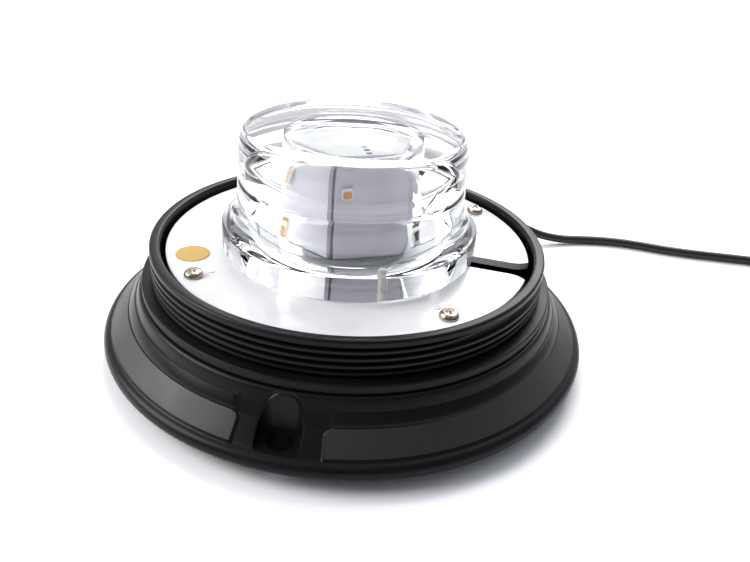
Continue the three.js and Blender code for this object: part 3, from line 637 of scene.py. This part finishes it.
# %% Housing: skirt ring
def skirt_ring():
    """Rows are the outline, rising on the outside; columns are directions, closer together where it
    changes."""
    bead = [(FLANGE_R - BEAD_R + BEAD_R * np.cos(a), FOOT_H + BEAD_R + BEAD_R * np.sin(a))
            for a in np.radians(np.linspace(-90, 84, 15))]
    face_r = np.concatenate([np.linspace(69.28, 66.4, 5), np.linspace(66.1, 64.62, 12)])
    face = np.stack([face_r, 8.55 + (69.28 - face_r) * (5.07 / 4.66)], -1)
    panel_rows = 2 + len(face)
    panel_part = [(69.62, 8.02), (69.48, 8.3), *face, (64.48, 13.66), (64.32, 13.7), (64.24, 13.86),
                  (64.2, 14.2), (64.16, 14.36),
                  (63.4, 15.48), (62.66, 16.56), (62.5, 16.74), (62.3, 16.72), (62.14, 16.8), (62.06, 17.1)]
    head = [(61.5, 18.55), (61.3, 19.1), (61.1, 19.5), (60.8, 19.83), (60.4, 19.98), (59.9, SKIRT_H),
            (56.8, SKIRT_H)]
    panel_part = np.array(panel_part)
    cone_r = panel_part[:, 0] - 0.1
    cone_part = np.stack([cone_r, cone_height(cone_r)], -1)
    inner = [(56.0, SKIRT_H), (BORE_R, 19.9), (BORE_R, FOOT_H), (57.8, FOOT_H)]
    steps = 0.03
    edges = np.concatenate([BOLTS - POCKET_SPAN, BOLTS + POCKET_SPAN, RIBS - RIB_SPAN, RIBS + RIB_SPAN,
                            [GLAND - BOSS_SPAN, GLAND + BOSS_SPAN]])
    fine = np.concatenate([s * np.linspace(8.6, 13.0, 36) for s in (-1, 1)])
    columns = [np.arange(0, 360, 1.8), (BOLTS[:, None] + fine).ravel(), edges - steps, edges + steps,
               (BOLTS[:, None] + np.linspace(-8, 8, 17)).ravel()]
    azimuth = np.unique(np.round(np.concatenate(columns) % 360, 3))
    azimuth = azimuth[np.concatenate([[True], np.diff(azimuth) > 0.03])]
    solid = away_from(azimuth, BOLTS) < POCKET_SPAN
    solid |= away_from(azimuth, RIBS) < RIB_SPAN
    solid |= away_from(azimuth, [GLAND]) < BOSS_SPAN
    hollow = np.where(solid, 0.0, 1.0)[:, None]
    to_bolt = away_from(azimuth, BOLTS)
    # The panel's end line leans away from the bolt as it climbs, turns round a corner at the head, and the
    # bevel and groove above it run out a little further off. No part of the panel lies between it and the
    # bolt.
    corner = 1.6
    below_top = np.linalg.norm(panel_part - panel_part[panel_rows - 1], axis=1)
    rounding = corner - np.sqrt(np.maximum(corner**2 - np.maximum(corner - below_top, 0) ** 2, 0))
    line = 9.0 + np.degrees(rounding / 65)
    run_out = np.full(len(line), 0.7)
    line[panel_rows:], run_out[panel_rows:] = 9.6, 2.2
    plain = 1 - smooth(to_bolt[:, None], line[None], (line + run_out)[None])
    outer = panel_part[None] + plain[..., None] * (cone_part - panel_part)[None]
    n = len(azimuth)
    fixed = lambda rows: np.broadcast_to(np.array(rows, float)[None], (n, len(rows), 2))
    roof = np.array([(57.8, 14.8), (60.2, 14.8), (62.4, 12.2), (67.2, 6.2)])
    cavity = np.stack([np.broadcast_to(roof[:, 0], (n, 4)), FOOT_H + (roof[:, 1] - FOOT_H) * hollow], -1)
    rows = np.concatenate([fixed([(67.2, FOOT_H), (68.6, FOOT_H)]), fixed(bead), outer, fixed(head),
                           fixed(inner), cavity], 1)
    a = np.radians(azimuth)[:, None]
    points = np.stack([rows[..., 0] * np.sin(a), -rows[..., 0] * np.cos(a), rows[..., 1]],
                      -1).transpose(1, 0, 2)
    shape = grid(points, close_rows=True)
    first = 2 + len(bead)
    grained = np.zeros((points.shape[0], n), bool)
    grained[first + 2 : first + panel_rows - 1] = (plain[:, 2 : panel_rows - 1].T < 0.02)
    return shape, grained.ravel()


skirt, grained_faces = skirt_ring()

# %% [markdown]
# The collar above the skirt carries the dome's thread. The rows of its grid climb with the helix, so every
# row keeps one place on the thread's crest, flank or root, and the crests stay perfectly smooth.

# %% Housing: threaded collar
PITCH = 2.03


def threaded_collar():
    """Height = start + pitch x (row / rows per turn + azimuth / 360), held between the thread's foot and
    the rim band.

    The radius follows the row's phase: a flat crest, two flanks and a rounded root, and it fades at both
    ends."""
    per_turn = 20
    low, high = 19.6, RIM_Z - 2.3
    end_azimuth, top_z = 54.0, RIM_Z - 3.1
    crest_0 = top_z - PITCH * end_azimuth / 360
    below = int(np.ceil((crest_0 - low) / PITCH)) + 1
    above_it = int(np.ceil((high - crest_0) / PITCH))
    k = np.arange(-below * per_turn, above_it * per_turn + 1)
    azimuth = np.linspace(0, 360, 241)
    turn_of = k[:, None] / per_turn
    free_z = crest_0 + PITCH * (turn_of + azimuth[None] / 360)
    z = np.clip(free_z, low, high)
    phase = np.abs((turn_of + 0.5) % 1 - 0.5)
    tooth = smooth(0.40 - phase, 0.0, 0.26)
    crest = np.floor(turn_of + 0.5)
    from_top = (top_z - (crest_0 + PITCH * (crest + azimuth[None] / 360))) / PITCH * 360
    length = (top_z - 23.4) / PITCH * 360
    fade = smooth(from_top, 0, 24) * smooth(length - from_top, 0, 24)
    r = ROOT_R + (COLLAR_R - ROOT_R) * tooth * fade
    band = soft_profile([(ROOT_R, high), (COLLAR_R - 0.25, high + 0.15), (COLLAR_R, high + 0.5),
                         (COLLAR_R, RIM_Z - 0.5),
                         (COLLAR_R - 0.5, RIM_Z), (BORE_R + 0.5, RIM_Z), (BORE_R, RIM_Z - 0.5),
                         (BORE_R, low)], 0.35)
    ring = np.concatenate([r * np.ones_like(z), np.repeat(band[:, :1], len(azimuth), 1)])
    height = np.concatenate([z, np.repeat(band[:, 1:], len(azimuth), 1)])
    a = np.radians(azimuth)[None]
    points = np.stack([ring * np.sin(a), -ring * np.cos(a), height], -1)
    return grid(points, close_rows=True, close_columns=False)


collar = threaded_collar()
print("collar", len(collar[1]), "faces")

# %% [markdown]
# Inside are a floor, four bosses for the plate screws, three posts for the driver board and the boss that
# the lead passes through. They are turned shapes, set down in their places.

# %% Housing: floor, screw bosses, driver posts and the lead's boss
def radial(shape, azimuth, height):
    """A shape made along Z, laid along a radius: its X goes along the rim, its Y up and its Z outwards."""
    points, faces = shape
    a = np.radians(azimuth)
    x, y, z = points.T
    out = np.stack([x * np.cos(a) + z * np.sin(a), x * np.sin(a) - z * np.cos(a), y + height], -1)
    return out, faces


def post(radius, bore, top, depth):
    """A round post on the housing floor with a blind hole from its top."""
    return turned([(0, FLOOR_Z - 0.5), (radius, FLOOR_Z - 0.5), (radius, top - 0.3), (radius - 0.3, top),
                   (bore, top), (bore, top - depth), (0, top - depth)], 32)


inside = [turned([(0, FOOT_H + 0.05), (BORE_R + 0.3, FOOT_H + 0.05), (BORE_R + 0.3, FLOOR_Z), (0, FLOOR_Z)],
                 120)]
for azimuth in SCREWS:
    inside.append(moved(post(4, 2.3, 28.8, 9), *around(SCREW_R, azimuth)))
for azimuth in (60, 180, 300):
    inside.append(moved(post(3, 1.5, 13.4, 7), *around(31, azimuth)))
exit_boss = radial(turned([(3, 55), (5, 55), (5, 71.6), (4.6, 72), (3.2, 72), (3, 71.8)], 48, ring=True),
                   GLAND, EXIT_Z)

# %% [markdown]
# The bolt pockets are cut with a tool shaped like the moulding pin that leaves them: straight sides, round
# back corners, a fillet at the floor, and a mouth that flares a little where it meets the cone.

# %% Housing: pockets and bores cut out
def pocket_tool(azimuth):
    """Rows go up the pocket's wall; each row is the pocket's outline pushed out by that row's offset."""
    half, back, corner, mouth = 5.6, 61.3, 4.2, 75.0
    side = np.linspace(mouth, back + corner, 14)[:-1]
    bend = np.radians(np.linspace(0, 90, 9))
    outline = [(half, -r, 1, 0) for r in side]
    outline += [(half - corner + corner * np.cos(b), -(back + corner) + corner * np.sin(b), np.cos(b),
                 np.sin(b)) for b in bend]
    outline = np.array(outline)
    mirror = outline[::-1] * np.array([-1, 1, -1, 1])
    outline = np.vstack([outline, mirror])
    x, y, nx, ny = outline.T
    rim = np.maximum(cone_height(np.hypot(x, y)), 8.75)
    out = lambda d: (x + nx * d, y + ny * d)
    rows = [(*out(-0.7), 7.9 + 0 * x), (*out(-0.2), 8.05 + 0 * x), (*out(0.0), 8.45 + 0 * x),
            (*out(0.02), rim - 0.22), (*out(0.1), rim - 0.04), (*out(0.55), rim + 0.25),
            (*out(0.6), 26.0 + 0 * x)]
    points = np.stack([np.stack(r, -1) for r in rows])
    foot = np.broadcast_to(points[0].mean(0), points[0].shape)
    top = np.broadcast_to(points[-1].mean(0), points[0].shape)
    return moved(grid(np.concatenate([foot[None], points, top[None]])), turned_by=azimuth)


def cut_away(obj, *shapes):
    """Subtracts closed shapes from an object with exact booleans and keeps the result as its mesh."""
    for i, (points, faces) in enumerate(shapes):
        mesh = bpy.data.meshes.new("tool")
        mesh.from_pydata((points * MM).tolist(), [], faces.tolist())
        weld(mesh)
        tool = bpy.data.objects.new("tool", mesh)
        bpy.context.scene.collection.objects.link(tool)
        cut = obj.modifiers.new(f"cut_{i}", "BOOLEAN")
        cut.operation, cut.solver, cut.object = "DIFFERENCE", "EXACT", tool
    graph = bpy.context.evaluated_depsgraph_get()
    result = bpy.data.meshes.new_from_object(obj.evaluated_get(graph))
    tools = [m.object for m in obj.modifiers]
    obj.modifiers.clear()
    old, obj.data = obj.data, result
    bpy.data.meshes.remove(old)
    for tool in tools:
        bpy.data.objects.remove(tool)


housing = make_piece("housing_skirt", skirt, [satin_pc, eroded_pc], "base_housing",
                     face_material=grained_faces)
bolt_bore = turned([(0, -1), (3.2, -1), (3.2, 9), (0, 9)], 48)
lead_bore = radial(turned([(0, 50), (2.98, 50), (2.98, 78), (0, 78)], 48), GLAND, EXIT_Z)
tools = [pocket_tool(b) for b in BOLTS] + [moved(bolt_bore, *around(BOLT_R, b))
                                           for b in BOLTS] + [lead_bore]
cut_away(housing, *tools)
finish_normals(housing.data, 32)
print("housing_skirt after cutting:", len(housing.data.polygons), "faces")
make_piece("housing_collar", collar, satin_pc, sharp=50)
make_piece("housing_inside", joined(*inside), satin_pc)
make_piece("housing_lead_boss", exit_boss, satin_pc)

# %% [markdown]
# ## Rubber pieces
#
# The dome's seal lies at the foot of the thread. It is a cut EPDM ring with a rectangular section, worn a
# little round at its edges, and the mounting gasket under the foot is of the same rubber.

# %% Seal ring, gasket, vent
seal_profile = soft_profile([(56.4, 21.4), (56.4, 20.2), (60.15, 20.2), (60.15, 22.7), (56.4, 22.7),
                             (56.4, 21.4)], 0.55, 4)
make_piece("dome_seal", turned(seal_profile, 200), epdm, "dome_seal_ring")
gasket_profile = soft_profile([(56.1, 1.5), (56.1, 0.0), (65.1, 0.0), (65.1, 2.9), (56.1, 2.9),
                               (56.1, 1.5)], 0.35, 3)
gasket = make_piece("foot_gasket", turned(gasket_profile, 180), epdm, "mounting_gasket")
gasket_bore = turned([(0, -1), (3.6, -1), (3.6, 5), (0, 5)], 48)
cut_away(gasket, *[moved(gasket_bore, *around(BOLT_R, b)) for b in BOLTS])
finish_normals(gasket.data, 32)
vent_profile = soft_profile([(0, 0.9), (2.6, 0.9), (2.8, 0.6), (4.6, 0.6), (5, 1.2), (5, 2.9), (2.7, 2.9),
                             (2.7, 6.9), (0, 6.9)], 0.25)
make_piece("vent_plug", moved(turned(vent_profile, 64), -24, 0), nylon_black_and_slot_shade, "breather_vent")

# %% [markdown]
# ## White plate
#
# A glossy white disc closes the housing. A slot, perhaps for a lead, runs in from the rim at the right, and
# four nickel-plated pan-head screws hold the plate. Beside each screw the mould left a small round mark.

# %% Plate with its notch and mould marks
def notch_tool():
    """The slot's outline seen from above, widening towards the rim as a quarter of a curve, pulled up
    through the plate."""
    inner, mouth = PLATE_R - 18.0, PLATE_R - 5.4
    t = np.linspace(0, 1, 14)
    flare_x = mouth + (PLATE_R + 1 - mouth) * t
    flare_y = 3.5 + 3.6 * t**2.4
    corner = np.radians(np.linspace(90, 180, 8))
    half_x = np.concatenate([flare_x[::-1], inner + 1.0 + 1.0 * np.cos(corner)])
    half_y = np.concatenate([flare_y[::-1], 2.5 + 1.0 * np.sin(corner)])
    x = np.concatenate([half_x, half_x[::-1]])
    y = np.concatenate([half_y, -half_y[::-1]])
    rows = [np.stack([x, y, z + 0 * x], -1) for z in (28.0, 32.0)]
    ends = [np.broadcast_to([47.0, 0, z], rows[0].shape) for z in (28.0, 32.0)]
    return moved(grid(np.stack([ends[0], *rows, ends[1]])), turned_by=-3.2)


plate_profile = soft_profile([(0, 29.1), (PLATE_R, 29.1), (PLATE_R, PLATE_TOP), (0, PLATE_TOP)], 0.3, 4)
plate = make_piece("reflector_disc", turned(plate_profile, 220), plate_abs, "reflector_plate")
cut_away(plate, notch_tool())
finish_normals(plate.data, 32)
mark = turned(soft_profile([(0, 31.05), (1.0, 31.05), (0.9, 31.28), (0.55, 31.28), (0.45, 31.16),
                            (0, 31.16)], 0.1), 32)
marks = joined(*[moved(mark, *around(SCREW_R - 4.9, a)) for a in SCREWS])
make_piece("plate_mould_marks", marks, plate_abs)

# %% [markdown]
# The plate screws have domed heads with a cross recess. The head is a height over a disc, so that the
# recess is real geometry, and the side below it is a turned profile.

# %% Pan-head screws
def pan_head(reach=9.0):
    """Height over a disc of radius and angle: a dome, less a cross recess whose arms deepen towards the
    middle."""
    a = np.linspace(0, 2 * np.pi, 96, endpoint=False)[None]
    r = np.linspace(0, 2.15, 26)[:, None]
    x, y = r * np.cos(a), r * np.sin(a)
    arm = lambda u, v: smooth(0.4 - np.abs(u), 0.0, 0.1) * smooth(1.5 - np.abs(v), 0.0, 0.35)
    recess = np.maximum(arm(x, y), arm(y, x)) * (0.35 + 0.75 * smooth(1.3 - r, 0.0, 1.3))
    top = 1.75 - 0.42 * (r / 2.15) ** 2.2
    crown = np.stack([x, y, top - recess + 0 * a], -1)[::-1]
    edge = soft_profile([(0, -reach), (0.8, -reach), (1.2, -reach + 0.5), (1.2, 0), (2.6, 0), (2.6, 0.55),
                         (2.15, 1.33)], 0.3)[:-1]
    side = np.stack([edge[:, :1] * np.cos(a), edge[:, :1] * np.sin(a), edge[:, 1:] + 0 * a], -1)
    return grid(np.concatenate([side, crown]))


for i, azimuth in enumerate(SCREWS):
    x, y = around(SCREW_R, azimuth)
    screw = moved(pan_head(), turned_by=(17, 52, 5, 38)[i])
    make_piece(f"pan_screw_{i + 1}", moved(screw, x, y, PLATE_TOP + 0.02), nickel, f"plate_screw_{i + 1}",
               sharp=50)

# %% [markdown]
# A round yellow sticker lies on the plate, perhaps the mark of a passed inspection. It is a thin turned
# disc.

# %% Inspection dot
dot_profile = soft_profile([(0, 31.11), (4.7, 31.11), (4.7, 31.26), (4.55, 31.3), (0, 31.3)], 0.06)
make_piece("yellow_dot", moved(turned(dot_profile, 72), *around(45.6, 300)), dot_paper, "inspection_dot")

# %% [markdown]
# ## Clear optic
#
# The optic is turned from one profile: an upright foot ring, a hollow flare up to the body, a fine groove
# round it and a rounded shoulder. Its cavity has a shallow conical roof over the tower.

# %% Optic
OPTIC_TOP, FOOT_R, BODY_R, CAVITY_R = 65.2, 37.0, 32.3, 19.5


def optic_profile():
    """Outer side upwards, the top inwards, then the cavity downwards, as one closed outline."""
    bottom = 31.35
    flare = [(BODY_R + 0.2 + 4.5 * (1 - np.sin(t)), 45.6 - 7.3 * np.cos(t))
             for t in np.radians(np.linspace(4, 90, 12))]
    shoulder = [(BODY_R - 3.0 + 3.0 * np.cos(t), OPTIC_TOP - 5.5 + 5.5 * np.sin(t))
                for t in np.radians(np.linspace(0, 84, 14))]
    outside = [(CAVITY_R + 0.3, bottom), (FOOT_R - 0.4, bottom), (FOOT_R, bottom + 0.4), (FOOT_R, 37.9),
               (FOOT_R - 0.25, 38.25), *flare,
               (BODY_R, 50.2), (BODY_R - 0.35, 50.7), (BODY_R - 0.8, 51.1), (BODY_R - 0.8, 51.7),
               (BODY_R - 0.3, 52.0), (BODY_R, 52.5), (BODY_R, 55.5)]
    top = [(29.0, OPTIC_TOP), (20, OPTIC_TOP), (0, OPTIC_TOP)]
    roof = [(0, 63.9), (0.8, 63.75), (10, 62.2), (CAVITY_R - 0.8, 60.7), (CAVITY_R - 0.15, 60.4),
            (CAVITY_R, 59.8), (CAVITY_R, bottom + 0.3)]
    return outside + shoulder + top + roof


optic_shape = turned(optic_profile(), 240, ring=True)
make_piece("optic_acrylic", optic_shape, acrylic, "optic_lens", sharp=38)

# %% [markdown]
# ## Tower of LED boards
#
# Six white boards stand round an aluminium column. The CAD boards are right as they are; each LED becomes
# a white body with a domed amber phosphor. Black blocks laid in the white cap's three slots are painted
# shade: they stand for the shade in the slots.

# %% Boards, LEDs, cap and column
def dress(name, material):
    """Gives a CAD node a material in all its slots."""
    data = nodes[name].data
    data.materials.clear()
    data.materials.append(material)


TOWER_TURN, TOWER_TOP, SIDES = -1.0, 58.2, 6
LED_Z = TOWER_TOP - 3.3
dress("led_tower", aluminium)
dress("tower_cap", cap_pc)
for i in range(SIDES):
    dress(f"led_board_{i + 1}", solder_mask)
    azimuth = TOWER_TURN + 360 / SIDES * (i + 0.5)
    body = block((-6.0, -17.1, LED_Z), (2.6, 0.6, 2.6), soft=0.25)
    glow = block((-6.0, -17.38, LED_Z), (1.9, 0.3, 1.9), soft=0.9)
    faces = np.concatenate([np.zeros(len(body[1]), int), np.ones(len(glow[1]), int)])
    make_piece(f"led_{i + 1}", moved(joined(body, glow), turned_by=azimuth), [led_body, phosphor],
               f"led_package_{i + 1}", face_material=faces)

# The black blocks are painted shade, standing for the shade in the cap's slots. The cap's facets fall by
# its rise over the distance to a side, so the blocks are sheared to lie in them.
CAP_EDGE, CAP_RISE, CAP_REACH, SHADE_BLOCK_SUNK = 1.3, 3.2, 15.9, 0.12
slope = CAP_RISE / CAP_REACH
slot_shade_blocks = joined(*[block((0, -r, 0), (1.5, 1.0, 0.4)) for r in (10.4, 12.6, 14.8)])
slot_shade_points = slot_shade_blocks[0].copy()
slot_shade_points[:, 2] += TOWER_TOP + CAP_EDGE + CAP_RISE - slope * -slot_shade_points[:, 1] - SHADE_BLOCK_SUNK
make_piece("cap_slot_painted_shade", moved((slot_shade_points, slot_shade_blocks[1]), turned_by=TOWER_TURN + 180 / SIDES), nylon_black_and_slot_shade)

# %% [markdown]
# ## What lies under the plate
#
# These pieces only show when the part is taken apart, so the CAD nodes stay and get their materials.

# %% Driver and hidden fasteners
for name, material in {
    "driver_board": laminate, "smoothing_capacitor": nylon_black_and_slot_shade, "inductor": epdm,
                       "controller_chip": nylon_black_and_slot_shade,
    "switch_transistor": nylon_black_and_slot_shade, "supply_terminal": laminate, "led_lead_red": pvc_red,
                       "led_lead_black": pvc_sheath,
    "inner_lead": pvc_sheath,
}.items():
    dress(name, material)
for name in nodes:
    if name.startswith(("driver_screw", "tower_screw")):
        dress(name, nickel)
    if name.startswith("optic_screw"):
        dress(name, nylon_white)
    if name.startswith("plate_insert"):
        dress(name, brass)

# %% [markdown]
# ## Strain relief
#
# A rubber boot grips the lead where it leaves the skirt. Its rings let it bend little by little. It is
# turned from one profile, with a groove that the boss in the skirt fits into.

# %% Strain relief
relief_profile = soft_profile(
    [(0, 49.3), (4.2, 49.3), (4.2, 53.3), (2.7, 53.3), (2.7, 72.3), (4.2, 72.3), (4.2, 73.8), (3.4, 74.2),
     (3.15, 76), (2.75, 76.4),
     (2.95, 76.8), (2.9, 79), (2.5, 79.4), (2.7, 79.8), (2.65, 82), (2.3, 82.4), (2.45, 82.8), (2.35, 86.6),
     (1.9, 87), (0, 87)], 0.3)
make_piece("strain_relief_boot", radial(turned(relief_profile, 56), GLAND, EXIT_Z), epdm, "strain_relief")

# %% [markdown]
